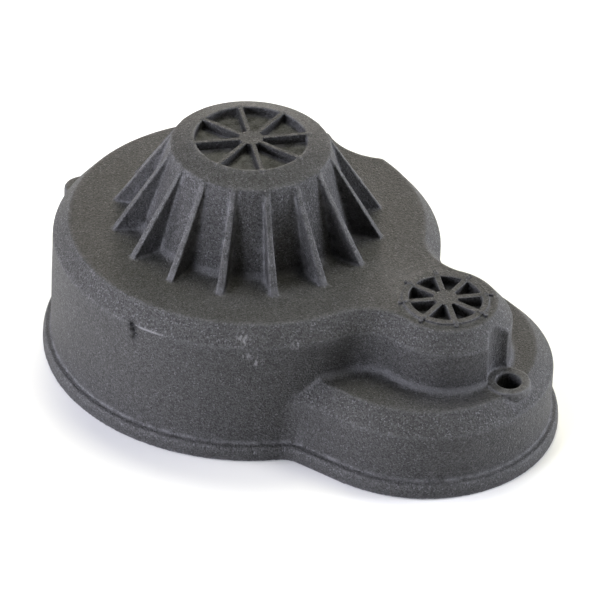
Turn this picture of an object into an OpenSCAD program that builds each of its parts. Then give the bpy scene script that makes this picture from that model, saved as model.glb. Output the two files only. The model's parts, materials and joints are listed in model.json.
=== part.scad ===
// Gear housing of a small radio-controlled car: a moulded scroll-shaped cover over a motor
// plate, a spring-loaded slipper clutch with its spur gear, and the pinion that drives it.
// The origin is on the clutch shaft's axis, in the plane that the housing rests on.
// +X points from the clutch shaft to the pinion, +Z up through the finned cone.

/* [Gears] */
// Module of the spur and pinion teeth
tooth_module = 0.529; // [0.45:0.001:0.56]
// Teeth on the spur gear
spur_teeth = 83; // [72:1:100]
// Teeth on the pinion
pinion_teeth = 25; // [20:1:30]
// Width of the spur gear's toothed rim
rim_w = 4.4; // [3.6:0.1:4.5]
// Pressure angle of the teeth
pressure_angle = 20; // [18:0.5:22]
// Play between the meshed teeth, along the pitch circle
backlash = 0.1; // [0.06:0.01:0.2]

/* [Cover shell] */
// Thickness of the cover's walls
wall = 1.5; // [1.2:0.1:1.8]
// Space between the spur's teeth and the cover's wall
gear_gap = 0.93; // [0.6:0.01:3]
// Height of the main top face above the base
cover_h = 19; // [16:0.1:23]
// Width of the sloped shoulder round the main top face
shoulder_w = 2; // [1.4:0.1:2.4]
// Height of the sloped shoulder
shoulder_h = 2.4; // [1.6:0.1:3]
// How much the walls flare from shoulder to base
draft = 0.2; // [0.05:0.05:0.5]
// How far the base lip stands out from the wall
lip_w = 1.05; // [0.9:0.05:1.4]
// Thickness of the lip that laps over the motor plate's edge
lip_t = 1; // [0.8:0.05:1.1]
// Radius of the concave blend between the main face and the bulge
neck_blend = 7; // [5:0.5:9]

/* [Bulge and lobe] */
// Shoulder radius of the bulge over the pinion
bulge_r = 8.6; // [7.8:0.1:9.6]
// How far the bulge's centre lies outside the pinion's axis
bulge_shift = 1.15; // [0:0.05:1.8]
// Height of the lobe's top face
ledge_h = 11; // [10.8:0.1:13]
// Shoulder radius of the lobe
lobe_r = 17; // [16.4:0.1:19]
// How far the lobe's centre lies inside the pinion's axis
lobe_back = 2.1; // [1.5:0.1:3]
// Sideways offset of the lobe's centre
lobe_y = 0.3; // [-0.5:0.1:0.5]
// Width of the lobe's sloped shoulder
lobe_shoulder_w = 2.3; // [1.6:0.1:2.6]
// Radius of the concave blend where the lobe leaves the main wall
lobe_blend = 5; // [3:0.5:7]
// Radius of the fillet where the upper wall meets the lobe's top
foot_fillet = 0.9; // [0.4:0.1:1.2]

/* [Cone and fins] */
// Height of the cone's rim above the main top face
cone_h = 11.2; // [10.6:0.1:14]
// Radius of the cone at its rim
cone_top_r = 10.2; // [9.6:0.1:11]
// Radius at which the cone's wall would meet the top face
cone_foot_r = 13.7; // [12.5:0.1:15]
// Radius of the fillet round the cone's foot
cone_fillet = 1.3; // [0.6:0.1:2]
// Rise of the crown above the rim
crown_h = 1.1; // [0.6:0.1:1.6]
// Number of fins round the cone
fins = 16; // [12:1:20]
// Thickness of a fin at its ridge
fin_t = 0.7; // [0.5:0.05:1]
// Radius of the fins' tips
fin_tip_r = 17.5; // [16:0.1:19]

/* [Wheel ornaments] */
// Radius of the ornament sunk in the crown
crown_wheel_r = 7.15; // [6:0.05:7.6]
// Depth of its windows
crown_wheel_depth = 1.25; // [0.8:0.05:1.4]
// Radius of the raised ornament over the pinion
small_wheel_r = 5.45; // [4.6:0.05:5.8]
// Width of the raised ornament's rim
small_wheel_rim = 0.85; // [0.6:0.05:1.2]
// Height of the raised ornament over the face
small_wheel_rise = 0.28; // [0.15:0.01:0.5]
// Depth of its windows below the face
small_wheel_depth = 1.3; // [0.6:0.1:1.4]
// Spokes in each ornament
spokes = 8; // [5:1:10]
// Width of a spoke in the crown's ornament
spoke_w = 0.6; // [0.4:0.05:0.8]
// Width of a spoke in the raised ornament
small_spoke_w = 0.75; // [0.5:0.05:0.9]

/* [Screw bosses] */
// Diameter of the cover's screw holes
screw_hole_d = 3.2; // [3:0.05:3.6]
// Outer radius of a screw boss
boss_r = 2.8; // [2.6:0.1:3.2]
// Height of the screw seats above the lobe's top face
boss_rise = 0.35; // [0.2:0.05:0.8]
// How far the end screw sits inside the lobe's shoulder
screw_inset = 3.5; // [3.4:0.1:4.2]
// Direction of the end screw from the lobe's centre
screw_angle = -4; // [-12:1:12]
// How far the two ear screws sit outside the main wall
ear_out = 2.55; // [2.3:0.05:3.4]
// Direction of the side ear
side_ear_angle = 175; // [165:1:190]
// Direction of the rear ear
rear_ear_angle = 85; // [75:1:95]
// Radius of the driver scallop over the rear ear
scallop_r = 7.9; // [6:0.1:9]

/* [Motor plate] */
// Thickness of the motor plate, which is the height of the cover's lip
plate_t = 2; // [1.6:0.1:2.2]
// Gap between the plate's edge and the cover's lip
plate_gap = 0.12; // [0.08:0.01:0.2]
// Diameter of the hole for the motor's nose
motor_nose_d = 13; // [11:0.5:14]
// Spacing of the motor's two screws
motor_span = 25; // [24:0.5:26]
// Spacing of the gearbox screws, which stand in a square
gearbox_span = 25; // [22:0.5:27]
// Diameter of the motor and gearbox screw holes
plate_hole_d = 3.2; // [3:0.1:3.6]

/* [Shaft and bearing] */
// Diameter of the clutch shaft
shaft_d = 5; // [4.6:0.1:5.2]
// Outer diameter of the shaft's bearing
bearing_d = 10; // [9.6:0.1:10.6]
// Width of the bearing
bearing_w = 3; // [2.8:0.1:3]
// Diameter of a bearing ball
ball_d = 1.3; // [1.1:0.05:1.35]
// Number of bearing balls
balls = 11; // [8:1:12]
// Diameter of the pinion's bore, which takes the motor's shaft
pinion_bore_d = 3.2; // [2.9:0.05:3.4]

/* [Slipper clutch] */
// Radius of the clutch's two plates
clutch_r = 14.4; // [13:0.1:15.5]
// Number of friction pegs in the spur gear
pegs = 6; // [4:1:8]
// Diameter of a friction peg
peg_d = 4.6; // [3.5:0.1:5]
// Number of cooling vanes on the outer plate
vanes = 12; // [8:1:16]
// Height of the vanes
vane_h = 2.2; // [1:0.1:2.4]
// Mean diameter of the clutch spring
spring_d = 9.4; // [9:0.1:10.2]
// Diameter of the spring's wire
spring_wire = 1.3; // [1:0.1:1.5]
// Height of the spring as tightened
spring_h = 7.4; // [6.4:0.1:7.6]

/* [Hidden] */
$fn = 96;

cut = 0.5;              // overshoot of a cutting tool
run = 0.05;             // radial running clearance
rub = 0.12;             // gap between the spur's web and each clutch plate
seat = 0.02;            // gap round a piece that is pressed or clipped in place
blend_ease = 0.03;      // lets a concave blend cross the walls it joins instead of grazing them

// gear geometry
spur_r = tooth_module * spur_teeth / 2;
pinion_r = tooth_module * pinion_teeth / 2;
spur_tip_r = spur_r + tooth_module;
pinion_x = spur_r + pinion_r;

// cover geometry: radii are those at the foot of the sloped shoulders
main_r = spur_tip_r + gear_gap + wall;
bulge_x = pinion_x + bulge_shift;
lobe_x = pinion_x - lobe_back;
shoulder_z = cover_h - shoulder_h;
lobe_shoulder_z = ledge_h - shoulder_h;
rim_z = cover_h + cone_h;
crown_z = rim_z + crown_h;
boss_z = ledge_h + boss_rise;
boss_step = 0.15;       // how much a flute widens over its height
lip_out = draft + lip_w;
nest_out = lip_out - lip_t;
neck = blend_centre(main_r - shoulder_w, bulge_r - shoulder_w, bulge_x, neck_blend);
end_screw = [lobe_x, lobe_y] + (lobe_r - screw_inset) * heading(screw_angle);
side_ear = (main_r + ear_out) * heading(side_ear_angle);
rear_ear = (main_r + ear_out) * heading(rear_ear_angle);
scallop_out = 4.25;     // how far the scallop's centre lies outside the main wall
scallop = (main_r + scallop_out) * heading(rear_ear_angle);
ornament_hub_r = 1.5;
ornament_bead_r = 0.28;
ornament_pad = 1.4;     // thickness of the shell under the raised ornament's windows

// heights of the clutch stack
hub_h = 4.5;
hub_r = bearing_d / 2 + 2.2;
bearing_z = 0.8;
collar_z = 0.2;
circlip_z = bearing_z + bearing_w + seat;
circlip_t = 0.45;
circlip_groove = 0.35;
drive_z = hub_h + 0.3;
shim_t = drive_z - bearing_z - bearing_w;
drive_t = 2;
pin_d = 1.5;
pin_z = drive_z + pin_d / 2 + seat;
web_z = drive_z + drive_t + rub;
web_t = 2;
spur_z = drive_z - 0.2;
press_z = web_z + web_t + rub;
press_t = 1.5;
washer_z = press_z + press_t + vane_h;
washer_t = 0.5;
spring_z = washer_z + washer_t;
cup_z = spring_z + spring_h;
cup_t = 0.8;
nut_z = cup_z + cup_t;
nut_h = 3.2;
insert_h = 1.2;
shaft_top = nut_z + nut_h + insert_h + 0.5;
spring_turns = 2 + (spring_h - 3 * spring_wire) / (1.7 * spring_wire);
thread_d = shaft_d - 1;
flat_w = shaft_d - 0.8; // across the shaft's flats
clutch_hub_r = 5.6;
peg_ring_r = 10.2;
ball_ring_r = (shaft_d + bearing_d) / 4;
race_gap = 0.03;
pinion_z = 3.4;
pinion_face = 5.8;
pinion_hub_r = 4.6;
pinion_top = cover_h - small_wheel_depth - ornament_pad - 1.7;
pinion_hub_l = pinion_top - pinion_z - pinion_face;
grub_z = pinion_top - 0.48 * pinion_hub_l;
grub_d = min(3, 0.56 * pinion_hub_l);
nut_r = 1.9;
nut_bore_r = 1.25;

// A point at distance 1 in a direction given in degrees.
function heading(a) = [cos(a), sin(a)];

// Centre of a concave blend touching a circle of radius r1 at the origin and r2 at [d, 0].
function blend_centre(r1, r2, d, blend) =
    let (a = r1 + blend, b = r2 + blend, x = (a * a - b * b + d * d) / (2 * d))
    [x, sqrt(a * a - x * x)];

// Centre of the blend between the main wall and one flank of the lobe, side is 1 or -1.
function flank_centre(side) =
    let (reach = main_r + lobe_blend, y = lobe_y + side * (lobe_r + lobe_blend))
    [sqrt(reach * reach - y * y), y];

// Points of an arc from angle a0 to a1 in n steps.
function arc(c, r, a0, a1, n) = [for (i = [0:n]) c + r * heading(a0 + (a1 - a0) * i / n)];

// Profiles are lists of [outward offset, height], from the base up.
function base_profile(top_z) =
    [[lip_out, 0], [lip_out - 0.05, plate_t * 0.6], [lip_out - 0.3, plate_t - 0.15],
     [draft, plate_t + 0.1], [0, top_z]];
function cavity_profile(top_z) =
    [[draft - wall, -cut], [draft - wall, plate_t], [-wall, top_z - 0.3]];
function upper_profile(z0) = [[draft / 2, z0], [0, shoulder_z], [-shoulder_w, cover_h]];

// ---- solids from profiles ------------------------------------------------------------------

// A round solid of radius r that follows a profile.
module turned(r, profile) {
    last = profile[len(profile) - 1];
    rotate_extrude()
        polygon(concat([[0, profile[0][1]]], [for (p = profile) [r + p[0], p[1]]],
                       [[0, last[1]]]));
}

// The space inside a concave blend of radius r, which shrinks where the profile stands out.
module turned_blend(r, profile) {
    first = profile[0];
    last = profile[len(profile) - 1];
    rotate_extrude()
        polygon(concat([[0, first[1] - cut], [r - first[0], first[1] - cut]],
                       [for (p = profile) [r - p[0], p[1]]],
                       [[r - last[0], last[1] + cut], [0, last[1] + cut]]));
}

function low(profile) = profile[0][1];
function high(profile) = profile[len(profile) - 1][1];

// The main circle joined to the bulge circle by concave blends.
module upper_form(profile) {
    turned(main_r, profile);
    translate([bulge_x, 0]) turned(bulge_r, profile);
    difference() {
        translate([0, 0, low(profile)]) linear_extrude(high(profile) - low(profile))
            polygon([[0, 0], [neck[0], -neck[1]], [bulge_x, 0], neck]);
        for (s = [-1, 1]) translate([neck[0], s * neck[1]])
            turned_blend(norm(neck) - main_r + blend_ease, profile);
    }
}

// The lobe: a circle with straight flanks that blend into the main circle.
module lobe_form(profile) {
    translate([lobe_x, lobe_y]) turned(lobe_r, profile);
    translate([0, lobe_y]) rotate([90, 0, 90]) linear_extrude(lobe_x)
        polygon(concat([for (p = profile) [lobe_r + p[0], p[1]]],
                       [for (i = [len(profile) - 1:-1:0])
                           [-lobe_r - profile[i][0], profile[i][1]]]));
    for (s = [-1, 1]) difference() {
        f = flank_centre(s);
        translate([0, 0, low(profile)]) linear_extrude(high(profile) - low(profile))
            polygon([[0, lobe_y], f, [f[0], lobe_y]]);
        translate(f) turned_blend(lobe_blend + blend_ease, profile);
    }
}

// An ear that reaches out of the main wall to a screw at point p.
module ear(p, r, z0, z1) {
    neck_w = 2 * r - 0.4;
    root_x = main_r - wall / 2;
    translate([p[0], p[1], z0]) cylinder(r = r, h = z1 - z0);
    rotate(atan2(p[1], p[0])) translate([root_x, -neck_w / 2, z0])
        cube([norm(p) - root_x, neck_w, z1 - z0]);
}

// A hexagonal bar, from its size across the flats.
module hex_bar(across, h) {
    cylinder(r = across / sqrt(3), h = h, $fn = 6);
}

module ring(r_out, r_in, h) {
    difference() {
        cylinder(r = r_out, h = h);
        translate([0, 0, -cut]) cylinder(r = r_in, h = h + 2 * cut);
    }
}

// ---- cover ---------------------------------------------------------------------------------

// The finned cone's outer surface, with a fillet at its foot and a crowned top.
module cone_form() {
    lean = atan2(cone_h, cone_foot_r - cone_top_r);
    c = [cone_foot_r + cone_fillet / tan(90 - lean / 2), cover_h + cone_fillet];
    rotate_extrude()
        polygon(concat([[0, cover_h - 1], [c[0], cover_h - 1]],
                       arc(c, cone_fillet, 270, 270 - lean, 6),
                       [[cone_top_r, rim_z], [crown_wheel_r + 0.2, crown_z], [0, crown_z]]));
}

module cone_cavity() {
    rotate_extrude()
        polygon([[0, cover_h - wall - cut], [cone_foot_r - wall, cover_h - wall - cut],
                 [cone_foot_r - wall, cover_h - wall],
                 [cone_top_r - wall, crown_z - crown_wheel_depth - wall],
                 [0, crown_z - crown_wheel_depth - wall]]);
}

// One fin on the +X side: a wedge that is thicker at its foot than at its ridge.
module fin() {
    foot_t = fin_t + 0.35;
    top_z = rim_z - 0.15;
    intersection() {
        translate([0, fin_t, 0]) rotate([90, 0, 0]) linear_extrude(2 * fin_t)
            polygon([[cone_top_r - 2, cover_h - 0.5], [fin_tip_r, cover_h - 0.5],
                     [fin_tip_r, cover_h + 0.05], [cone_top_r + 0.15, top_z],
                     [cone_top_r - 2, top_z]]);
        rotate([90, 0, 90]) linear_extrude(fin_tip_r + 1)
            polygon([[-foot_t / 2, cover_h - 1], [foot_t / 2, cover_h - 1],
                     [fin_t / 2 - 0.05, rim_z + 1], [0.05 - fin_t / 2, rim_z + 1]]);
    }
}

// Hub and spokes of an ornament, from z0 to z1, with spokes of width w reaching radius r.
module wheel_spokes(r, w, z0, z1) {
    translate([0, 0, z0]) cylinder(r = ornament_hub_r, h = z1 - z0);
    for (i = [0:spokes - 1]) rotate(i * 360 / spokes)
        translate([0, -w / 2, z0]) cube([r, w, z1 - z0]);
}

module wheel_beads(r, z0, z1) {
    for (i = [0:spokes - 1]) rotate(i * 360 / spokes)
        translate([r, 0, z0]) cylinder(r = ornament_bead_r, h = z1 - z0, $fn = 16);
}

module cover_outside() {
    turned(main_r, concat(base_profile(shoulder_z), [[-shoulder_w, cover_h]]));
    lobe_form(concat(base_profile(lobe_shoulder_z), [[-lobe_shoulder_w, ledge_h]]));
    upper_form(upper_profile(ledge_h - 1));
    // fillet at the foot of the upper wall, over the lobe's top only
    intersection() {
        upper_form(concat([[draft / 2 + foot_fillet, ledge_h - 1]],
                          arc([draft / 2 + foot_fillet, ledge_h + foot_fillet],
                              foot_fillet, 270, 180, 4)));
        lobe_form([[-lobe_shoulder_w, ledge_h - 1], [-lobe_shoulder_w, ledge_h + 2]]);
    }
    cone_form();
    for (i = [0:fins - 1]) rotate(i * 360 / fins) fin();
    translate([end_screw[0], end_screw[1], ledge_h - 1]) cylinder(r = boss_r, h = boss_rise + 1);
    for (p = [side_ear, rear_ear]) ear(p, boss_r, plate_t - cut, boss_z);
}

// Vertical cuts over the screw seats that let a driver and a screw head in.
module flutes(grow, z0) {
    for (p = [end_screw, side_ear]) translate([p[0], p[1], z0])
        cylinder(r1 = boss_r + grow, r2 = boss_r + boss_step + grow, h = cover_h + cut - z0);
    translate([scallop[0], scallop[1], z0])
        cylinder(r = scallop_r + grow, h = cover_h + cut - z0);
}

module cover_inside() {
    lobe_form(concat(cavity_profile(lobe_shoulder_z),
                     [[-wall - lobe_shoulder_w + 0.6, ledge_h - wall]]));
    difference() {
        union() {
            turned(main_r, concat(cavity_profile(shoulder_z),
                                  [[-wall - shoulder_w + 0.5, cover_h - wall]]));
            upper_form([[-wall, ledge_h - wall - 1], [-wall, shoulder_z - 0.3],
                        [-wall - shoulder_w + 0.5, cover_h - wall]]);
        }
        flutes(wall - 0.4, ledge_h - wall + 0.1);
        translate([bulge_x, 0, cover_h - small_wheel_depth - ornament_pad])
            cylinder(r = small_wheel_r + 0.3, h = small_wheel_depth + ornament_pad);
    }
    cone_cavity();
}

// The outline of the motor plate, with an ear under each of the cover's side screws.
module plate_plan(offset_out, ear_r, z0, z1) {
    turned(main_r, [[offset_out, z0], [offset_out, z1]]);
    lobe_form([[offset_out, z0], [offset_out, z1]]);
    for (p = [side_ear, rear_ear]) ear(p, ear_r, z0, z1);
}

module gear_cover() {
    window_z = cover_h - small_wheel_depth;
    small_rim_r = small_wheel_r - small_wheel_rim;
    color([0.16, 0.16, 0.17]) {
        difference() {
            cover_outside();
            difference() {
                cover_inside();
                translate([end_screw[0], end_screw[1], -cut])
                    cylinder(r = boss_r, h = boss_z + cut);
            }
            plate_plan(nest_out, boss_r + cut, -cut, plate_t);
            flutes(0, boss_z);
            for (p = [end_screw, side_ear, rear_ear])
                translate([p[0], p[1], -cut]) cylinder(d = screw_hole_d, h = boss_z + 2 * cut);
            difference() {
                translate([0, 0, crown_z - crown_wheel_depth])
                    cylinder(r = crown_wheel_r, h = crown_wheel_depth + cut);
                wheel_spokes(crown_wheel_r + cut, spoke_w,
                             crown_z - crown_wheel_depth - cut, crown_z);
            }
            translate([bulge_x, 0, window_z])
                cylinder(r = small_rim_r, h = small_wheel_depth + cut);
        }
        wheel_beads(crown_wheel_r + 0.25, crown_z - 0.6, crown_z + 0.08);
        translate([bulge_x, 0]) {
            translate([0, 0, cover_h - 0.4])
                ring(small_wheel_r, small_rim_r, small_wheel_rise + 0.4);
            wheel_spokes(small_rim_r + 0.2, small_spoke_w,
                         window_z - 0.2, cover_h + small_wheel_rise);
            wheel_beads(small_wheel_r - 0.25, cover_h - 0.4, cover_h + small_wheel_rise + 0.1);
        }
    }
}

// ---- motor plate and bearing ---------------------------------------------------------------

module motor_plate() {
    color([0.62, 0.63, 0.66])
    difference() {
        union() {
            plate_plan(nest_out - plate_gap, boss_r, 0, plate_t);
            cylinder(r = hub_r, h = hub_h);
        }
        translate([0, 0, -cut]) cylinder(r = bearing_d / 2 - 0.8, h = hub_h);
        translate([0, 0, bearing_z]) cylinder(r = bearing_d / 2 + seat / 2, h = hub_h);
        translate([0, 0, circlip_z - seat])
            cylinder(r = bearing_d / 2 + circlip_groove, h = circlip_t + 2 * seat);
        translate([pinion_x, 0, -cut]) cylinder(d = motor_nose_d, h = plate_t + 2 * cut);
        for (s = [-1, 1]) translate([pinion_x, s * motor_span / 2, -cut])
            cylinder(d = plate_hole_d, h = plate_t + 2 * cut);
        for (x = [-1, 1], y = [-1, 1])
            translate([x * gearbox_span / 2, y * gearbox_span / 2, -cut])
                cylinder(d = plate_hole_d, h = plate_t + 2 * cut);
        for (p = [end_screw, side_ear, rear_ear])
            translate([p[0], p[1], -cut]) cylinder(r = nut_r + seat / 2, h = plate_t + 2 * cut);
    }
}

module press_nuts() {
    color([0.75, 0.70, 0.55])
    for (p = [end_screw, side_ear, rear_ear]) translate(p)
        ring(nut_r, nut_bore_r, plate_t - seat);
}

// The ball track shared by the two rings.
module ball_track() {
    translate([0, 0, bearing_z + bearing_w / 2]) rotate_extrude()
        translate([ball_ring_r, 0]) circle(r = ball_d / 2 + race_gap, $fn = 32);
}

module bearing_outer_ring() {
    color([0.78, 0.79, 0.80])
    difference() {
        translate([0, 0, bearing_z]) ring(bearing_d / 2, ball_ring_r + 0.45, bearing_w);
        ball_track();
    }
}

module bearing_inner_ring() {
    color([0.78, 0.79, 0.80])
    difference() {
        translate([0, 0, bearing_z])
            ring(ball_ring_r - 0.45, shaft_d / 2 + seat / 2, bearing_w);
        ball_track();
    }
}

module bearing_shields() {
    shield_t = 0.2;
    color([0.55, 0.57, 0.60])
    for (z = [bearing_z + 0.1, bearing_z + bearing_w - 0.1 - shield_t])
        translate([0, 0, z]) ring(ball_ring_r + 0.44, ball_ring_r - 0.38, shield_t);
}

module bearing_circlip() {
    gap_w = 3;
    color([0.25, 0.25, 0.27])
    translate([0, 0, circlip_z]) difference() {
        ring(bearing_d / 2 + circlip_groove - seat, bearing_d / 2 - 0.7, circlip_t);
        translate([0, -gap_w / 2, -cut]) cube([bearing_d, gap_w, circlip_t + 2 * cut]);
    }
}

module bearing_balls() {
    color([0.85, 0.86, 0.88])
    for (i = [0:balls - 1]) rotate(i * 360 / balls)
        translate([ball_ring_r, 0, bearing_z + bearing_w / 2]) sphere(d = ball_d, $fn = 24);
}

module ball_cage() {
    cage_h = ball_d + 0.5;
    color([0.72, 0.60, 0.35])
    difference() {
        translate([0, 0, bearing_z + (bearing_w - cage_h) / 2])
            ring(ball_ring_r + 0.25, ball_ring_r - 0.25, cage_h);
        for (i = [0:balls - 1]) rotate(i * 360 / balls)
            translate([ball_ring_r, 0, bearing_z + bearing_w / 2])
                sphere(d = ball_d + 0.1, $fn = 24);
    }
}

// ---- clutch --------------------------------------------------------------------------------

module clutch_shaft() {
    socket_af = 3;
    socket_depth = 3;
    color([0.70, 0.71, 0.73])
    difference() {
        union() {
            translate([0, 0, collar_z]) cylinder(d = shaft_d + 1.6, h = bearing_z - collar_z);
            translate([0, 0, collar_z]) cylinder(d = shaft_d, h = cup_z - 1 - collar_z);
            cylinder_from(thread_d / 2, cup_z - 1.1, shaft_top);
        }
        translate([0, 0, collar_z - cut]) hex_bar(socket_af, socket_depth + cut);
        for (s = [0, 180]) rotate(s)
            translate([flat_w / 2, -shaft_d, press_z - rub / 2])
                cube([shaft_d, 2 * shaft_d, washer_z - press_z + rub]);
        translate([0, shaft_d, pin_z]) rotate([90, 0, 0])
            cylinder(d = pin_d + seat, h = 2 * shaft_d, $fn = 32);
    }
}

module cylinder_from(r, z0, z1) {
    translate([0, 0, z0]) cylinder(r = r, h = z1 - z0);
}

module shim_washer() {
    color([0.80, 0.80, 0.78])
    translate([0, 0, bearing_z + bearing_w])
        ring(shaft_d / 2 + 1, shaft_d / 2 + seat, shim_t);
}

module cross_pin() {
    pin_l = shaft_d + 4.2;
    color([0.30, 0.30, 0.32])
    translate([0, pin_l / 2, pin_z]) rotate([90, 0, 0]) cylinder(d = pin_d, h = pin_l, $fn = 32);
}

module drive_plate() {
    slot_l = shaft_d + 4.6;
    color([0.42, 0.43, 0.46])
    difference() {
        translate([0, 0, drive_z]) cylinder(r = clutch_r, h = drive_t);
        translate([0, 0, drive_z - cut]) cylinder(d = shaft_d + seat, h = drive_t + 2 * cut);
        translate([-pin_d / 2 - seat, -slot_l / 2, drive_z - cut])
            cube([pin_d + 2 * seat, slot_l, pin_z + pin_d / 2 + seat - drive_z + cut]);
    }
}

module pressure_plate() {
    color([0.20, 0.38, 0.72])
    translate([0, 0, press_z]) difference() {
        union() {
            cylinder(r = clutch_r, h = press_t);
            cylinder(r = clutch_hub_r, h = press_t + vane_h);
            for (i = [0:vanes - 1]) rotate(i * 360 / vanes)
                translate([clutch_hub_r - 1, -0.5, 0])
                    cube([clutch_r - clutch_hub_r, 1, press_t + vane_h]);
        }
        translate([0, 0, -cut]) intersection() {
            cylinder(d = shaft_d + 2 * seat, h = press_t + vane_h + 2 * cut);
            translate([-flat_w / 2 - seat, -shaft_d, 0])
                cube([flat_w + 2 * seat, 2 * shaft_d, press_t + vane_h + 2 * cut]);
        }
    }
}

module thrust_washer() {
    color([0.80, 0.80, 0.78])
    translate([0, 0, washer_z]) ring(spring_d / 2 + 1.2, shaft_d / 2 + seat, washer_t);
}

// Height of the spring's wire centre after t turns: one turn at each end lies closed.
function coil_z(t) =
    let (closed = spring_wire * 1.03, open = spring_h - spring_wire - 2 * closed)
    spring_wire / 2 + closed * (min(t, 1) + max(t - spring_turns + 1, 0))
        + open * min(max(t - 1, 0) / (spring_turns - 2), 1);

module clutch_spring() {
    per_turn = 24;
    sides = 8;
    steps = round(spring_turns * per_turn);
    points = [for (i = [0:steps], k = [0:sides - 1])
        let (t = spring_turns * i / steps, b = 360 * k / sides,
             r = spring_d / 2 + spring_wire / 2 * cos(b))
        [r * cos(360 * t), r * sin(360 * t), coil_z(t) + spring_wire / 2 * sin(b)]];
    sides_faces = [for (i = [0:steps - 1], k = [0:sides - 1])
        let (a = i * sides + k, b = i * sides + (k + 1) % sides)
        [a, a + sides, b + sides, b]];
    ends = [[for (k = [0:sides - 1]) k],
            [for (k = [sides - 1:-1:0]) steps * sides + k]];
    color([0.72, 0.74, 0.77])
    translate([0, 0, spring_z]) polyhedron(points, concat(sides_faces, ends));
}

module spring_cup() {
    color([0.80, 0.80, 0.78])
    translate([0, 0, cup_z]) difference() {
        union() {
            cylinder(r = spring_d / 2 + 1.4, h = cup_t);
            translate([0, 0, -0.9]) cylinder(r = spring_d / 2 - spring_wire / 2 - 0.2, h = 1);
        }
        translate([0, 0, -1]) cylinder(d = thread_d + 4 * seat, h = cup_t + 2);
    }
}

module lock_nut() {
    nut_af = thread_d + 3;
    color([0.66, 0.68, 0.70])
    translate([0, 0, nut_z]) difference() {
        union() {
            intersection() {
                hex_bar(nut_af, nut_h);
                cylinder(r1 = nut_af / 2 + 1.2, r2 = nut_af / 2 + 0.1, h = nut_h + 2);
            }
            cylinder(r = nut_af / 2 - 0.25, h = nut_h + insert_h + 0.2);
        }
        translate([0, 0, -cut]) cylinder(d = thread_d + seat, h = nut_h + 2 * cut);
        translate([0, 0, nut_h]) cylinder(r = nut_af / 2 - 0.7, h = insert_h + 1);
    }
}

module nut_insert() {
    nut_af = thread_d + 3;
    color([0.20, 0.42, 0.85])
    translate([0, 0, nut_z + nut_h]) ring(nut_af / 2 - 0.7 - seat, thread_d / 2 + seat, insert_h);
}

// ---- gears ---------------------------------------------------------------------------------

function inv(a) = tan(a) * 180 / PI - a;

// Half the angle of a tooth of pitch radius rp at radius r.
function half_tooth(rp, n, r) =
    let (rb = rp * cos(pressure_angle),
         w = 90 / n - backlash / (4 * rp) * 180 / PI)
    w + inv(pressure_angle) - inv(r > rb ? acos(rb / r) : 0);

// Outline of a gear with a tooth centred on +X.
function gear_outline(n, steps) =
    let (rp = tooth_module * n / 2, root = rp - 1.25 * tooth_module, tip = rp + tooth_module,
         radii = [for (k = [0:steps]) root + (tip - root) * k / steps])
    [for (i = [0:n - 1], side = [-1, 1], k = [0:steps])
        let (r = side < 0 ? radii[k] : radii[steps - k], h = half_tooth(rp, n, r))
        r * heading(360 * i / n + side * h)];

module spur_gear() {
    rim_in = spur_r - 3.2;
    light_hole_d = 2.6;
    light_ring_r = peg_ring_r + 6;
    color([0.13, 0.13, 0.14])
    difference() {
        translate([0, 0, spur_z]) linear_extrude(rim_w) polygon(gear_outline(spur_teeth, 4));
        translate([0, 0, spur_z - cut]) cylinder(r = rim_in, h = web_z - spur_z + cut);
        translate([0, 0, web_z + web_t]) cylinder(r = rim_in, h = rim_w);
        translate([0, 0, spur_z]) cylinder(d = shaft_d + 3, h = rim_w + cut);
        for (i = [0:pegs - 1]) rotate(i * 360 / pegs)
            translate([peg_ring_r, 0, spur_z]) cylinder(d = peg_d + seat, h = rim_w + cut);
        for (i = [0:pegs - 1]) rotate((i + 0.5) * 360 / pegs)
            translate([light_ring_r, 0, spur_z]) cylinder(d = light_hole_d, h = rim_w + cut);
    }
}

module spur_bush() {
    color([0.72, 0.52, 0.30])
    translate([0, 0, web_z])
        ring(shaft_d / 2 + 1.5 - seat / 2, shaft_d / 2 + run, web_t);
}

module friction_pegs() {
    proud = rub - 0.04;
    color([0.45, 0.33, 0.22])
    for (i = [0:pegs - 1]) rotate(i * 360 / pegs)
        translate([peg_ring_r, 0, web_z - proud]) cylinder(d = peg_d, h = web_t + 2 * proud);
}

module pinion_gear() {
    color([0.68, 0.69, 0.71])
    translate([pinion_x, 0]) difference() {
        union() {
            translate([0, 0, pinion_z]) rotate(180 + 180 / pinion_teeth)
                linear_extrude(pinion_face) polygon(gear_outline(pinion_teeth, 4));
            cylinder_from(pinion_hub_r, pinion_z + pinion_face - 0.1, pinion_top);
        }
        translate([0, 0, pinion_z - cut]) cylinder(d = pinion_bore_d, h = pinion_top);
        translate([0, 0, grub_z]) rotate([90, 0, 0])
            cylinder(d = grub_d + seat, h = pinion_hub_r + cut);
    }
}

module grub_screw() {
    grub_l = 2.7;
    socket_af = grub_d / 2;
    color([0.12, 0.12, 0.13])
    translate([pinion_x, -pinion_bore_d / 2 - 0.1, grub_z]) rotate([90, 0, 0]) difference() {
        cylinder(d = grub_d, h = grub_l);
        translate([0, 0, 1.2]) hex_bar(socket_af, grub_l);
    }
}

gear_cover();
motor_plate();
press_nuts();
bearing_outer_ring();
bearing_shields();
bearing_circlip();
bearing_balls();
ball_cage();
bearing_inner_ring();
clutch_shaft();
shim_washer();
cross_pin();
drive_plate();
pressure_plate();
thrust_washer();
clutch_spring();
spring_cup();
lock_nut();
nut_insert();
spur_gear();
spur_bush();
friction_pegs();
pinion_gear();
grub_screw();
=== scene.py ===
"""Gear housing with slipper clutch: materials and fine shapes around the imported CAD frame."""
import json
import math

import bmesh
import bpy
import numpy as np
from mathutils import Matrix, Vector


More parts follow.
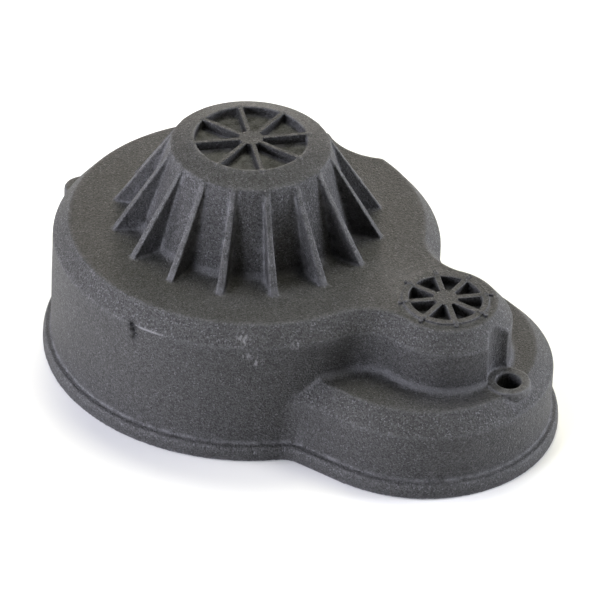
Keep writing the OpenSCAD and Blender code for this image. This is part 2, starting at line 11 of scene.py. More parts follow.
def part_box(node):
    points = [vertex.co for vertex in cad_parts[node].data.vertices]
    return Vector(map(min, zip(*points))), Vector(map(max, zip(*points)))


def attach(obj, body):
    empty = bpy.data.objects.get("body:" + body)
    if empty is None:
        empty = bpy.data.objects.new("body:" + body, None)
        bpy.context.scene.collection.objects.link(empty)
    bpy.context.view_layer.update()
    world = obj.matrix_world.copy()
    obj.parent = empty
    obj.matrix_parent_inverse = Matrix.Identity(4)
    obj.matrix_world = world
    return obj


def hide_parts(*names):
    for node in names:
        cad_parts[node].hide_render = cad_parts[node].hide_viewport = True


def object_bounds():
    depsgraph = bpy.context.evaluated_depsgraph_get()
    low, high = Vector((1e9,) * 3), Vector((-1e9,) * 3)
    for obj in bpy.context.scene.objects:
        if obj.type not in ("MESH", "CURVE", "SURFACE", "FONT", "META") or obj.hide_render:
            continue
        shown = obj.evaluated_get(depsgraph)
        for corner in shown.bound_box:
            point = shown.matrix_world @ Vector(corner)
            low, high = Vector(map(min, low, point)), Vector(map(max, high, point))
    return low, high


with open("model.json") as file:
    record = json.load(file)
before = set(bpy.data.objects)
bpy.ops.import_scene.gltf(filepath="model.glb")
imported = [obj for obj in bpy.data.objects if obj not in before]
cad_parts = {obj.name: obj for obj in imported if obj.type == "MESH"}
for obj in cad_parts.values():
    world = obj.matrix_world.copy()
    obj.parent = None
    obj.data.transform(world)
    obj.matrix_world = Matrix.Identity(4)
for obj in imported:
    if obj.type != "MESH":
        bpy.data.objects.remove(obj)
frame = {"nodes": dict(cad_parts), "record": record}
CAD_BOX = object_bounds()
MM = 0.001
NODES = frame["nodes"]


def mm(*values):
    return Vector(values) * MM


# ---- sizes and places -----------------------------------------------------------------------

# the pinion's axis in metres, from the frame
PINION_LOW, PINION_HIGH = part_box("pinion_gear")
PINION_X = (PINION_LOW[0] + PINION_HIGH[0]) / 2
# the cover's own sizes and the spring's wire, in mm
LEDGE_Z = 11.0
TOP_Z = 19.0
RIM_Z = 30.2
CROWN_Z = 31.3
CONE_TOP_R = 10.2
FIN_TIP_R = 17.5
CROWN_WHEEL_R = 7.15
CROWN_WHEEL_DEPTH = 1.25
CROWN_SPOKE_W = 0.6
BULGE_SHIFT = 1.15
BULGE_X = PINION_X / MM + BULGE_SHIFT
SMALL_WHEEL_R = 5.45
SMALL_WHEEL_RIM = 0.85
SMALL_WHEEL_RISE = 0.28
SMALL_WHEEL_DEPTH = 1.3
SMALL_SPOKE_W = 0.75
HUB_R = 1.5
END_SCREW = (39.93, -0.64)
SPOKES = 8
SPRING_WIRE = 1.3


# ---- wear on the cover ----------------------------------------------------------------------

# dents: place, radius and depth in mm
NICK = [((-0.45, -24.9, 16.55), 0.50, 0.70), ((0.15, -24.9, 16.35), 0.36, 0.45),
        ((-0.20, -24.9, 15.85), 0.46, 0.70), ((0.22, -25.0, 15.30), 0.42, 0.55),
        ((-0.05, -25.0, 14.75), 0.36, 0.40)]
SCUFFS = [((15.6, -20.7, 1.35), 0.40, 0.26), ((13.2, -20.3, 17.5), 0.40, 0.07),
          ((14.9, -20.0, 14.7), 0.40, 0.06), ((18.5, -16.4, 16.8), 0.35, 0.06)]
# pale scratches over and near the scuffs: place and radius in mm
PALE_MARKS = [((13.17, -20.28, 17.5), 1.3), ((14.93, -20.0, 14.7), 1.3), ((13.9, -20.7, 15.6), 0.8),
              ((18.55, -16.41, 16.8), 0.8), ((15.6, -20.7, 1.35), 0.5)]
# the rubbed line on the main shoulder's front edge: its middle's x and z in mm
RUBBED_LINE_X = 1.4
RUBBED_LINE_Z = 16.62


# ---- camera, lights, floor ------------------------------------------------------------------

CAMERA_AZIMUTH = math.radians(31.66)
CAMERA_ELEVATION = math.radians(35.91)
CAMERA_ROLL = math.radians(2.94)
CAMERA_AIM = mm(9.27, -1.28, 10.77)
CAMERA_DISTANCE = 468.6 * MM
LENS_MM = 219.8


def make_camera():
    """A long lens from far off, for a flat perspective, rolled a little to the left."""
    azimuth, elevation, roll = CAMERA_AZIMUTH, CAMERA_ELEVATION, CAMERA_ROLL
    back = Vector((math.sin(azimuth) * math.cos(elevation),
                   -math.cos(azimuth) * math.cos(elevation), math.sin(elevation)))
    right = Vector((math.cos(azimuth), math.sin(azimuth), 0))
    up = back.cross(right)
    rolled_up = up * math.cos(roll) - right * math.sin(roll)
    rolled_right = rolled_up.cross(back)
    data = bpy.data.cameras.new("camera")
    data.lens, data.sensor_width, data.sensor_fit = LENS_MM, 36.0, "HORIZONTAL"
    data.clip_start, data.clip_end = 0.01, 20
    camera = bpy.data.objects.new("camera", data)
    rows = Matrix((rolled_right, rolled_up, back)).transposed().to_4x4()
    camera.matrix_world = Matrix.Translation(CAMERA_AIM + back * CAMERA_DISTANCE) @ rows
    bpy.context.scene.collection.objects.link(camera)
    bpy.context.scene.camera = camera


def add_light(name, place, aim, size, power, colour):
    data = bpy.data.lights.new(name, "AREA")
    data.shape, data.size, data.energy, data.color = "DISK", size, power, colour
    light = bpy.data.objects.new(name, data)
    light.location = place
    light.rotation_euler = (Vector(aim) - Vector(place)).to_track_quat("-Z", "Y").to_euler()
    bpy.context.scene.collection.objects.link(light)


def make_lights():
    """A bright tent: broad low and high lights at the sides and behind, none straight in front."""
    # bearing from the camera's side, elevation, watts, colour
    lights = {
        "right_low": (100, 12, 9.8, (0.86, 0.88, 1.0)),
        "left_front_low": (-50, 12, 8.6, (0.87, 0.885, 1.0)),
        "left_low": (-90, 12, 5.6, (0.90, 0.88, 1.0)),
        "back_high": (180, 62, 3.9, (1.0, 0.98, 0.76)),
        "back_low": (180, 12, 2.0, (1.0, 0.91, 0.83)),
        "right_high": (100, 62, 1.9, (1.0, 0.98, 0.83)),
        "left_high": (-90, 62, 1.6, (0.93, 0.95, 1.0)),
    }
    aim = mm(10, 0, 10)
    reach, size = 0.8, 0.4
    for name, (bearing, elevation, watts, colour) in lights.items():
        turn, tilt = CAMERA_AZIMUTH + math.radians(bearing), math.radians(elevation)
        away = Vector((math.sin(turn) * math.cos(tilt), -math.cos(turn) * math.cos(tilt),
                       math.sin(tilt)))
        add_light(name, aim + away * reach, aim, size, watts, colour)


def make_floor():
    mesh = bpy.data.meshes.new("floor")
    half, gap = 3.0, 0.00005
    z = CAD_BOX[0][2] - gap
    mesh.from_pydata([(-half, -half, z), (half, -half, z), (half, half, z), (-half, half, z)],
                     [], [(0, 1, 2, 3)])
    floor = bpy.data.objects.new("floor", mesh)
    bpy.context.scene.collection.objects.link(floor)
    material = bpy.data.materials.new("floor_paper")
    material.use_nodes = True
    shader = material.node_tree.nodes["Principled BSDF"]
    shader.inputs["Base Color"].default_value = (0.93, 0.93, 0.93, 1)
    shader.inputs["Roughness"].default_value = 0.9
    floor.data.materials.append(material)


# ---- materials ------------------------------------------------------------------------------

class Shader:
    """A material's node tree, with short calls for the nodes that every finish here uses."""

    def __init__(self, name, roughness=0.5, metallic=0.0):
        self.material = bpy.data.materials.new(name)
        self.material.use_nodes = True
        self.tree = self.material.node_tree
        self.out = self.tree.nodes["Principled BSDF"]
        self.out.inputs["Roughness"].default_value = roughness
        self.out.inputs["Metallic"].default_value = metallic
        self.place = self.node("ShaderNodeTexCoord").outputs["Object"]

    def node(self, kind, **settings):
        made = self.tree.nodes.new(kind)
        for key, value in settings.items():
            setattr(made, key, value)
        return made

    def feed(self, socket, value):
        if hasattr(value, "is_output"):
            self.tree.links.new(value, socket)
        else:
            socket.default_value = value

    def noise(self, grain_mm, detail=2.0, roughness=0.5, place=None):
        """Soft noise whose blobs are about grain_mm across."""
        made = self.node("ShaderNodeTexNoise")
        self.feed(made.inputs["Vector"], place or self.place)
        made.inputs["Scale"].default_value = 1 / (grain_mm * MM)
        made.inputs["Detail"].default_value = detail
        made.inputs["Roughness"].default_value = roughness
        return made.outputs["Fac"]

    def cells(self, grain_mm):
        """Cells about grain_mm across, each with a random colour."""
        made = self.node("ShaderNodeTexVoronoi")
        self.feed(made.inputs["Vector"], self.place)
        made.inputs["Scale"].default_value = 1 / (grain_mm * MM)
        return made.outputs["Color"]

    def split(self, vector):
        """The X, Y and Z of a vector."""
        made = self.node("ShaderNodeSeparateXYZ")
        self.feed(made.inputs[0], vector)
        return [made.outputs[k] for k in ("X", "Y", "Z")]

    def ramp(self, value, low, high, to_low=0.0, to_high=1.0):
        made = self.node("ShaderNodeMapRange", clamp=True)
        self.feed(made.inputs["Value"], value)
        made.inputs["From Min"].default_value = low
        made.inputs["From Max"].default_value = high
        made.inputs["To Min"].default_value = to_low
        made.inputs["To Max"].default_value = to_high
        return made.outputs["Result"]

    def math(self, operation, a, b=0.0):
        made = self.node("ShaderNodeMath", operation=operation)
        self.feed(made.inputs[0], a)
        self.feed(made.inputs[1], b)
        return made.outputs[0]

    def blend(self, share, a, b):
        """Colour a where share is 0 and b where it is 1."""
        made = self.node("ShaderNodeMix", data_type="RGBA")
        self.feed(made.inputs["Factor"], share)
        self.feed(made.inputs["A"], (*a, 1) if isinstance(a, tuple) else a)
        self.feed(made.inputs["B"], (*b, 1) if isinstance(b, tuple) else b)
        return made.outputs["Result"]

    def tinted(self, colour, amount):
        """The colour times a number."""
        made = self.node("ShaderNodeVectorMath", operation="SCALE")
        self.feed(made.inputs[0], colour)
        self.feed(made.inputs["Scale"], amount)
        return made.outputs[0]

    def bump(self, height, depth_mm, under=None):
        made = self.node("ShaderNodeBump")
        made.inputs["Strength"].default_value = 1.0
        made.inputs["Distance"].default_value = depth_mm * MM
        self.feed(made.inputs["Height"], height)
        if under is not None:
            self.feed(made.inputs["Normal"], under)
        return made.outputs["Normal"]

    def stretched(self, x, y, z):
        made = self.node("ShaderNodeMapping")
        self.feed(made.inputs["Vector"], self.place)
        made.inputs["Scale"].default_value = (x, y, z)
        return made.outputs["Vector"]

    def about(self, x):
        """Radius from an upright axis at x, as a coordinate that makes turned rings."""
        across, dy, z = self.split(self.place)
        dx = self.math("SUBTRACT", across, x)
        squares = self.math("ADD", self.math("MULTIPLY", dx, dx), self.math("MULTIPLY", dy, dy))
        radius = self.math("SQRT", squares)
        join = self.node("ShaderNodeCombineXYZ")
        self.feed(join.inputs["X"], radius)
        self.feed(join.inputs["Z"], z)
        return join.outputs[0]

    def finish(self, colour=None, roughness=None, normal=None):
        for name, value in (("Base Color", colour), ("Roughness", roughness), ("Normal", normal)):
            if value is not None:
                self.feed(self.out.inputs[name], value)
        return self.material


def near(s, centre, radius):
    """1 close to a point given in mm, falling to 0 at the radius."""
    away = s.node("ShaderNodeVectorMath", operation="DISTANCE")
    s.feed(away.inputs[0], s.place)
    away.inputs[1].default_value = mm(*centre)
    return s.ramp(away.outputs["Value"], radius * MM, radius * 0.3 * MM)


def nick_shade(s):
    """Painted shade in the nick in the main shoulder's edge: a ragged dark patch over its pits."""
    ragged = s.ramp(s.noise(0.3, detail=3), 0.34, 0.46)
    spread = 2.2
    shaded = 0.0
    for centre, radius, _ in NICK:
        shaded = s.math("MAXIMUM", shaded, near(s, centre, radius * spread))
    return s.math("MULTIPLY", shaded, ragged)


def foot_bands(s, slope):
    """The sloping fillets at the feet of the bulge and the cone, painted paler: a painted highlight
    along the bulge's foot, pale dust at the cone's foot.
    """
    z = s.split(s.place)[2]
    bands = 0.0
    for low, high in ((LEDGE_Z, LEDGE_Z + 1.1), (TOP_Z, TOP_Z + 1.2)):
        inside = s.math("MULTIPLY", s.ramp(z, (low + 0.05) * MM, (low + 0.2) * MM),
                        s.ramp(z, high * MM, (high - 0.4) * MM))
        bands = s.math("MAXIMUM", bands, inside)
    return s.math("MULTIPLY", bands, slope)


def worn_places(s):
    """Pale marks on the cover: a rubbed line along the shoulder's edge, scuffs and a chip."""
    x, y, z = s.split(s.place)
    height = s.math("ABSOLUTE", s.math("SUBTRACT", z, RUBBED_LINE_Z * MM))
    along = s.math("ABSOLUTE", s.math("SUBTRACT", x, RUBBED_LINE_X * MM))
    line = s.math("MULTIPLY", s.ramp(height, 0.16 * MM, 0.05 * MM),
                  s.ramp(along, 3.2 * MM, 1.6 * MM))
    marks = s.math("MULTIPLY", line, s.ramp(y, -24.3 * MM, -24.6 * MM))
    scratches = s.ramp(s.noise(0.35, detail=3, place=s.stretched(1, 1, 0.35)), 0.5, 0.62)
    for centre, radius in PALE_MARKS:
        marks = s.math("MAXIMUM", marks, s.math("MULTIPLY", near(s, centre, radius), scratches))
    return marks


def moulded_nylon():
    """Black glass-filled nylon: coarse spark-eroded grain, painted glints, sloping faces painted
    lighter, rubbed edges and dust with painted highlights, painted shade in the nick.
    """
    black, soft_black = (0.019, 0.0190, 0.0195), (0.028, 0.0275, 0.0275)
    glint_grey, rubbed_and_sheen_grey, dust_and_sheen_grey = (0.15, 0.15, 0.165), (0.15, 0.15, 0.155), (0.17, 0.17, 0.18)
    foot_dust_and_highlight_grey, mark_grey, nick_shade_black = (0.085, 0.085, 0.09), (0.28, 0.28, 0.29), (0.003, 0.003, 0.003)
    s = Shader("moulded_nylon")
    s.out.inputs["Specular IOR Level"].default_value = 0.45
    grain = s.noise(0.22, detail=2, roughness=0.6)
    speckle = s.cells(0.15)
    cloud = s.noise(7.0, detail=3)
    patches = s.noise(1.1, detail=4, roughness=0.6)
    edge_wear_and_sheen = s.node("ShaderNodeAttribute", attribute_name="edge_wear_and_sheen").outputs["Fac"]
    hollow = s.node("ShaderNodeAttribute", attribute_name="hollow").outputs["Fac"]
    # rubbed edges with a painted highlight: proud edges paled in patches
    rubbed_and_sheen = s.math("MULTIPLY", s.ramp(edge_wear_and_sheen, 0.08, 0.7), s.ramp(patches, 0.3, 0.62))
    # dust with a painted sheen: hollows paled in patches
    dust_and_sheen = s.math("MULTIPLY", s.ramp(hollow, 0.05, 0.5), s.ramp(patches, 0.66, 0.38))
    random = s.node("ShaderNodeSeparateColor")
    s.feed(random.inputs[0], speckle)
    upright = s.split(s.node("ShaderNodeTexCoord").outputs["Normal"])[2]
    slope = s.math("MULTIPLY", s.ramp(upright, 0.18, 0.34), s.ramp(upright, 0.95, 0.82))
    # painted light: sloping faces up to a tenth lighter, over the speckle's random tone
    speckle_and_slope_light = s.math("MULTIPLY", s.ramp(random.outputs[0], 0.0, 1.0, 0.1, 1.95),
                   s.ramp(slope, 0.0, 1.0, 1.0, 1.1))
    # painted highlights: the palest speckle cells turn pale grey as glints, a few more on sloping faces
    glint = s.ramp(s.math("ADD", random.outputs[1], s.math("MULTIPLY", slope, 0.03)), 0.90, 1.0)
    painted_glints = s.math("MULTIPLY", glint, s.ramp(slope, 0.0, 1.0, 0.4, 0.45))
    # painted highlight and dust: paler bands along the feet of the bulge and the cone
    foot_dust_and_highlight = s.math("MULTIPLY", foot_bands(s, slope), s.ramp(patches, 0.3, 0.6, 0.3, 0.6))
    base = s.tinted(s.blend(cloud, black, soft_black), speckle_and_slope_light)
    base = s.blend(painted_glints, base, glint_grey)
    base = s.blend(s.math("MULTIPLY", rubbed_and_sheen, 0.55), base, rubbed_and_sheen_grey)
    base = s.blend(s.math("MULTIPLY", dust_and_sheen, 0.55), base, dust_and_sheen_grey)
    base = s.blend(foot_dust_and_highlight, base, foot_dust_and_highlight_grey)
    base = s.blend(s.math("MULTIPLY", worn_places(s), 0.45), base, mark_grey)
    # painted shade: the nick's pits and their surround turn near-black
    base = s.blend(s.math("MULTIPLY", nick_shade(s), 0.9), base, nick_shade_black)
    rough = s.ramp(s.math("ADD", grain, s.math("MULTIPLY", glint, -0.4)), 0.2, 0.8, 0.46, 0.72)
    normal = s.bump(grain, 0.20)
    normal = s.bump(random.outputs[2], 0.05, under=normal)
    return s.finish(base, rough, normal)


def metal(name, colour, roughness, axis_x=None, lines_mm=0.12, dirt=0.35):
    """A machined metal: turned rings about an upright axis, or straight brushing if axis_x is None."""
    s = Shader(name, roughness, 1.0)
    place = s.stretched(0.04, 1, 1) if axis_x is None else s.about(axis_x)
    lines = s.noise(lines_mm, detail=3, roughness=0.7, place=place)
    cloud = s.noise(2.2, detail=4)
    dark = tuple(c * (1 - dirt) for c in colour)
    base = s.blend(s.math("MULTIPLY", s.ramp(cloud, 0.35, 0.75), 0.6), colour, dark)
    base = s.blend(s.math("MULTIPLY", s.ramp(lines, 0.45, 0.8), 0.35), base, dark)
    rough = s.ramp(s.math("ADD", lines, s.math("MULTIPLY", cloud, 0.6)), 0.4, 1.3,
                   roughness * 0.7, min(roughness * 1.5, 0.9))
    return s.finish(base, rough, s.bump(lines, 0.02))


def gear_nylon():
    s = Shader("gear_nylon")
    cloud = s.noise(1.5, detail=4)
    dust = s.ramp(s.noise(0.4, detail=5, roughness=0.7), 0.5, 0.75)
    base = s.blend(cloud, (0.014, 0.014, 0.015), (0.026, 0.026, 0.028))
    base = s.blend(s.math("MULTIPLY", dust, 0.25), base, (0.12, 0.11, 0.10))
    grain = s.noise(0.12, detail=3)
    return s.finish(base, s.ramp(cloud, 0.3, 0.7, 0.32, 0.5), s.bump(grain, 0.02))


def friction_fibre():
    s = Shader("friction_fibre")
    fibre = s.noise(0.25, detail=5, roughness=0.8, place=s.stretched(1, 0.25, 1))
    base = s.blend(s.ramp(fibre, 0.3, 0.7), (0.16, 0.085, 0.045), (0.36, 0.25, 0.15))
    return s.finish(base, s.ramp(fibre, 0.2, 0.8, 0.65, 0.9), s.bump(fibre, 0.05))


def nut_nylon():
    s = Shader("nut_nylon", 0.35)
    s.out.inputs["Subsurface Weight"].default_value = 0.15
    s.out.inputs["Subsurface Radius"].default_value = (0.0004, 0.0006, 0.0012)
    cloud = s.noise(0.8, detail=3)
    base = s.blend(cloud, (0.03, 0.12, 0.50), (0.06, 0.20, 0.66))
    return s.finish(base, s.ramp(cloud, 0.3, 0.7, 0.25, 0.45), s.bump(s.noise(0.2), 0.01))


def paint_nodes():
    """Every CAD node gets its finish, by the record's material slot; returns the finishes."""
    finishes = {
        "plate_aluminium": metal("plate_aluminium", (0.60, 0.61, 0.63), 0.34, None, 0.25),
        "steel": metal("steel", (0.50, 0.50, 0.51), 0.26, 0.0),
        "bearing_steel": metal("bearing_steel", (0.66, 0.67, 0.68), 0.14, 0.0, 0.2, 0.15),
        "black_steel": metal("black_steel", (0.06, 0.06, 0.065), 0.42, 0.0, 0.15),
        "brass": metal("brass", (0.68, 0.49, 0.22), 0.28, 0.0),
        "blue_anodised": metal("blue_anodised", (0.035, 0.13, 0.48), 0.30, 0.0, 0.15, 0.25),
        "grey_anodised": metal("grey_anodised", (0.20, 0.21, 0.23), 0.36, 0.0, 0.15),
        "gear_nylon": gear_nylon(),
        "friction": friction_fibre(),
        "nut_nylon": nut_nylon(),
        "moulded_nylon": moulded_nylon(),
    }
    turned_pinion = metal("pinion_steel", (0.46, 0.46, 0.47), 0.30, PINION_X)
    for part in frame["record"]["subparts"]:
        node = NODES[part["node"]]
        material = finishes[part["material_slot"]]
        if part["node"] in ("pinion_gear", "grub_screw") and part["material_slot"] == "steel":
            material = turned_pinion
        node.data.materials.clear()
        node.data.materials.append(material)
    return finishes


# ---- the cover's fine mesh ------------------------------------------------------------------

def mesh_modifier(obj, kind, **settings):
    made = obj.modifiers.new(kind.lower(), kind)
    for key, value in settings.items():
        setattr(made, key, value)


def applied(obj, name):
    """A new object with obj's modifiers applied; obj is removed."""
    evaluated = obj.evaluated_get(bpy.context.evaluated_depsgraph_get())
    mesh = bpy.data.meshes.new_from_object(evaluated)
    bpy.data.objects.remove(obj)
    made = bpy.data.objects.new(name, mesh)
    bpy.context.scene.collection.objects.link(made)
    return made


def solid_copy(node, scale):
    """A welded copy of a CAD node without its shading data, enlarged by the scale."""
    weld = 0.002
    mesh = NODES[node].data.copy()
    work = bmesh.new()
    work.from_mesh(mesh)
    bmesh.ops.scale(work, vec=(scale, scale, scale), verts=work.verts)
    bmesh.ops.remove_doubles(work, verts=work.verts, dist=weld)
    work.to_mesh(mesh)
    work.free()
    for name in ("custom_normal", "sharp_edge", "sharp_face"):
        if name in mesh.attributes:
            mesh.attributes.remove(mesh.attributes[name])
    copy = bpy.data.objects.new(node + "_work", mesh)
    bpy.context.scene.collection.objects.link(copy)
    return copy


def neighbours_mean(values, edges):
    """Mean of each vertex's neighbours, for smoothing values over a mesh."""
    count = len(values)
    total = np.zeros_like(values)
    for k in range(values.shape[1]):
        total[:, k] = (np.bincount(edges[:, 0], values[edges[:, 1], k], count)
                       + np.bincount(edges[:, 1], values[edges[:, 0], k], count))
    valence = np.bincount(edges.ravel(), minlength=count)[:, None]
    return total / np.maximum(valence, 1)


def mesh_array(items, key, width, kind=np.float32):
    values = np.empty(len(items) * width, dtype=kind)
    items.foreach_get(key, values)
    return values.reshape(-1, width)


def standing_proud(points, normals, edges, reach, voxel):
    """How far each vertex stands out of the surface around it, in voxels."""
    around = points
    for _ in range(reach):
        around = neighbours_mean(around, edges)
    proud = ((points - around) * normals).sum(1, keepdims=True) / voxel
    for _ in range(2):
        proud = neighbours_mean(proud, edges)
    return proud[:, 0]


def dent(points, normals, centre, radius, depth):
    """Presses a small pit into the surface, all in mm, deepest at its centre."""
    away = np.linalg.norm(points - np.array(centre), axis=1) / radius
    points -= normals * (depth * np.clip(1 - away * away, 0, 1) ** 1.5)[:, None]


def add_knocks(points, normals):
    """A torn nick on the main shoulder's edge, a chip in the lip and a few scuffs."""
    for place, radius, depth in NICK + SCUFFS:
        dent(points, normals, place, radius, depth)


def soft_share(points):
    """1 on the broad walls, 0 on the ornaments, fins and end screw seat, which keep their edges."""
    from_axis = np.hypot(points[:, 0], points[:, 1])
    from_pinion = np.hypot(points[:, 0] - BULGE_X, points[:, 1])
    z = points[:, 2]
    crown = (from_axis < CROWN_WHEEL_R + 1) & (z > RIM_Z - 0.5)
    fins = (from_axis > CONE_TOP_R - 0.7) & (from_axis < FIN_TIP_R + 0.4) & (z > TOP_Z + 0.1)
    badge = (from_pinion < SMALL_WHEEL_R + 0.6) & (z > TOP_Z - 2)
    seat_r = 3.4
    seat = np.hypot(points[:, 0] - END_SCREW[0], points[:, 1] - END_SCREW[1]) < seat_r
    return np.where(crown | fins | badge | seat, 0.0, 1.0)


def fine_spring():
    """The clutch spring in round wire, with one closed turn at each end."""
    low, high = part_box("clutch_spring")
    height = (high[2] - low[2]) / MM
    mean_r = (high[0] - low[0]) / 2 / MM - SPRING_WIRE / 2
    closed_pitch, open_pitch = SPRING_WIRE * 1.03, SPRING_WIRE * 1.7
    turns = 2 + (height - 3 * SPRING_WIRE) / open_pitch
    rise = height - SPRING_WIRE - 2 * closed_pitch
    steps_per_turn, sides = 60, 20
    steps = round(turns * steps_per_turn)
    work = bmesh.new()
    rings = []
    for i in range(steps + 1):
        t = turns * i / steps
        z = (low[2] / MM + SPRING_WIRE / 2 + closed_pitch * (min(t, 1) + max(t - turns + 1, 0))
             + rise * min(max(t - 1, 0) / (turns - 2), 1))
        ring = []
        for k in range(sides):
            around = 2 * math.pi * k / sides
            r = mean_r + SPRING_WIRE / 2 * math.cos(around)
            place = (r * math.cos(2 * math.pi * t), r * math.sin(2 * math.pi * t),
                     z + SPRING_WIRE / 2 * math.sin(around))
            ring.append(work.verts.new(mm(*place)))
        rings.append(ring)
    for a, b in zip(rings, rings[1:]):
        for k in range(sides):
            j = (k + 1) % sides
            work.faces.new((a[k], b[k], b[j], a[j]))
    work.faces.new(rings[0])
    work.faces.new(reversed(rings[-1]))
    bmesh.ops.recalc_face_normals(work, faces=work.faces)
    mesh = bpy.data.meshes.new("round_spring")
    work.to_mesh(mesh)
    work.free()
    mesh.shade_smooth()
    mesh.set_sharp_from_angle(angle=math.radians(50))
    spring = bpy.data.objects.new("round_spring", mesh)
    bpy.context.scene.collection.objects.link(spring)
    return spring


def fine_cover():
    """The moulded cover: the CAD shape with every edge rounded as a mould leaves it."""
    scale = 1 / MM
    voxel = 0.16
    triangles = 190000
    smoothing_steps, steps_everywhere = 6, 2
    proud_reach, proud_gain = 4, 2.0
    exact = solid_copy("gear_cover", scale)
    work = solid_copy("gear_cover", scale)
    mesh_modifier(work, "REMESH", mode="VOXEL", voxel_size=voxel, adaptivity=0.0)
    mesh_modifier(work, "SHRINKWRAP", target=exact, wrap_method="NEAREST_SURFACEPOINT")
    cover = applied(work, "moulded_cover")
    bpy.data.objects.remove(exact)
    mesh = cover.data
    points = mesh_array(mesh.vertices, "co", 3).astype(float)
    edges = mesh_array(mesh.edges, "vertices", 2, np.int32).astype(np.int64)
    soft = soft_share(points)[:, None]
    for step in range(smoothing_steps):
        share = 0.5 if step < steps_everywhere else 0.5 * soft
        points += share * (neighbours_mean(points, edges) - points)
    mesh.vertices.foreach_set("co", points.astype(np.float32).ravel())
    mesh.update()
    normals = mesh_array(mesh.vertices, "normal", 3).astype(float)
    proud = standing_proud(points, normals, edges, proud_reach, voxel)
    add_knocks(points, normals)
    mesh.vertices.foreach_set("co", points.astype(np.float32).ravel())
    # the proud share feeds the rubbed edges and their painted highlight, the hollow share the dust and
    # its painted sheen
    for name, values in (("edge_wear_and_sheen", proud), ("hollow", -proud)):
        attribute = mesh.attributes.new(name, "FLOAT", "POINT")
        attribute.data.foreach_set("value", np.clip(values * proud_gain, 0, 1).astype(np.float32))
    mesh.update()
    mesh_modifier(cover, "DECIMATE", ratio=min(1, triangles / (2 * len(mesh.polygons))))
    cover = applied(cover, "moulded_cover")
    cover.data.transform(Matrix.Scale(MM, 4))
    cover.data.shade_smooth()
    return cover


# ---- crisp ornaments ------------------------------------------------------------------------

def lathe(work, profile, segments):
    """Turns a closed (radius, z) profile about the Z axis."""
    loops = []
    for k in range(segments):
        turn = 2 * math.pi * k / segments
        loops.append([work.verts.new((r * math.cos(turn), r * math.sin(turn), z))
                      for r, z in profile])
    for k in range(segments):
        here, there = loops[k], loops[(k + 1) % segments]
        for i in range(len(profile)):
            j = (i + 1) % len(profile)
            work.faces.new((here[i], there[i], there[j], here[j]))


def bar(work, turn, start, end, low, high, width):
    """A spoke from radius start to end, a little wider at its foot, with broken top edges."""
    half, foot, edge = width / 2, 0.04, 0.07
    section = [(-half - foot, low), (half + foot, low), (half, high - edge),
               (half - edge, high), (edge - half, high), (-half, high - edge)]
    spin = Matrix.Rotation(turn, 3, "Z")
    ends = [[work.verts.new(spin @ Vector((r, y, z))) for y, z in section] for r in (start, end)]
    for i in range(len(section)):
        j = (i + 1) % len(section)
        work.faces.new((ends[0][i], ends[1][i], ends[1][j], ends[0][j]))
    work.faces.new(ends[0])
    work.faces.new(reversed(ends[1]))


def bead(work, turn, radius, top, size):
    """A round head of radius size, a little flattened, with its top at the given height."""
    flat = 0.8
    place = Matrix.Rotation(turn, 4, "Z") @ Matrix.Translation((radius, 0, top - size * flat))
    bmesh.ops.create_uvsphere(work, u_segments=14, v_segments=8, radius=size,
                              matrix=place @ Matrix.Diagonal((1, 1, flat, 1)))


def hub(work, floor, top):
    """An ornament's hub, a hair higher than its spokes so that no two faces lie together."""
    lathe(work, [(0.01, floor), (HUB_R + 0.05, floor), (HUB_R, top + 0.01), (0.01, top + 0.01)], 40)


def ornament(name, centre_x, draw):
    """A small object made by draw(work) in mm about (centre_x, 0), riding with the cover."""
    work = bmesh.new()
    draw(work)
    bmesh.ops.recalc_face_normals(work, faces=work.faces)
    bmesh.ops.translate(work, verts=work.verts, vec=(centre_x, 0, 0))
    bmesh.ops.scale(work, verts=work.verts, vec=(MM, MM, MM))
    mesh = bpy.data.meshes.new(name)
    work.to_mesh(mesh)
    work.free()
    mesh.shade_smooth()
    mesh.set_sharp_from_angle(angle=math.radians(35))
    made = bpy.data.objects.new(name, mesh)
    bpy.context.scene.collection.objects.link(made)
    return made


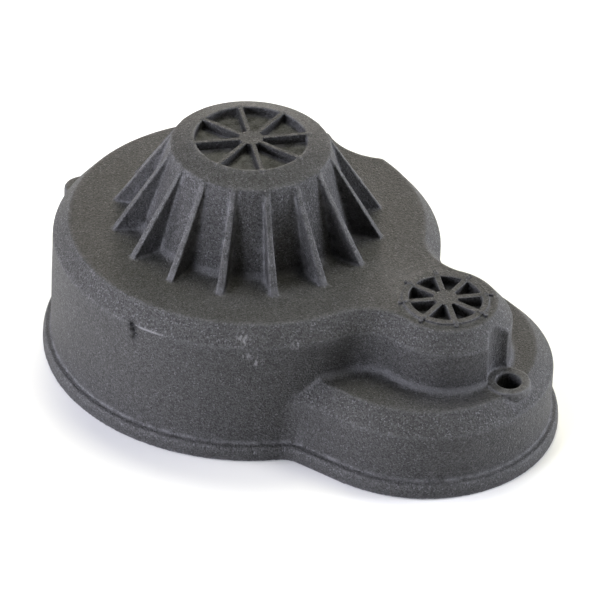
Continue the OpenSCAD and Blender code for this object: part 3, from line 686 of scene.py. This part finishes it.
def crown_ornament(work):
    """Spokes level with the crown over its sunk floor, a bead where each one meets the rim."""
    floor, top = CROWN_Z - CROWN_WHEEL_DEPTH - 0.1, CROWN_Z + 0.015
    hub(work, floor, top)
    for k in range(SPOKES):
        turn = 2 * math.pi * k / SPOKES
        bar(work, turn, HUB_R - 0.4, CROWN_WHEEL_R + 0.15, floor, top, CROWN_SPOKE_W)
        bead(work, turn, CROWN_WHEEL_R + 0.22, CROWN_Z + 0.078, 0.42)


def small_ornament(work):
    """A raised rim and spokes over sunk windows; a thin bar carries each spoke over the rim."""
    floor, top = TOP_Z - SMALL_WHEEL_DEPTH - 0.1, TOP_Z + SMALL_WHEEL_RISE + 0.02
    inner, outer = SMALL_WHEEL_R - SMALL_WHEEL_RIM, SMALL_WHEEL_R + 0.03
    foot, edge = TOP_Z - 0.4, 0.09
    hub(work, floor, top)
    lathe(work, [(outer + 0.06, foot), (outer, top - edge), (outer - edge, top),
                 (inner + edge, top), (inner, top - edge), (inner - 0.04, foot)], 96)
    for k in range(SPOKES):
        turn = 2 * math.pi * k / SPOKES
        bar(work, turn, HUB_R - 0.4, inner + 0.1, floor, top, SMALL_SPOKE_W)
        bar(work, turn, inner, outer + 0.42, TOP_Z - 0.3, top + 0.07, 0.34)
        bead(work, turn, outer - 0.22, top + 0.22, 0.34)
        bead(work, turn, outer + 0.38, top + 0.14, 0.28)


# ---- the scene ------------------------------------------------------------------------------

bpy.context.scene.view_settings.view_transform = "Standard"
make_camera()
make_lights()
make_floor()
FINISHES = paint_nodes()
cover = fine_cover()
cover.data.materials.clear()
cover.data.materials.append(FINISHES["moulded_nylon"])
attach(cover, "cover")
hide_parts("gear_cover")
for badge in (ornament("crown_ornament", 0, crown_ornament),
              ornament("small_ornament", BULGE_X, small_ornament)):
    badge.data.materials.append(FINISHES["moulded_nylon"])
    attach(badge, "cover")

spring = fine_spring()
spring_slot = next(part["material_slot"] for part in frame["record"]["subparts"]
                   if part["node"] == "clutch_spring")
spring.data.materials.append(FINISHES[spring_slot])
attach(spring, "clutch")
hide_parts("clutch_spring")
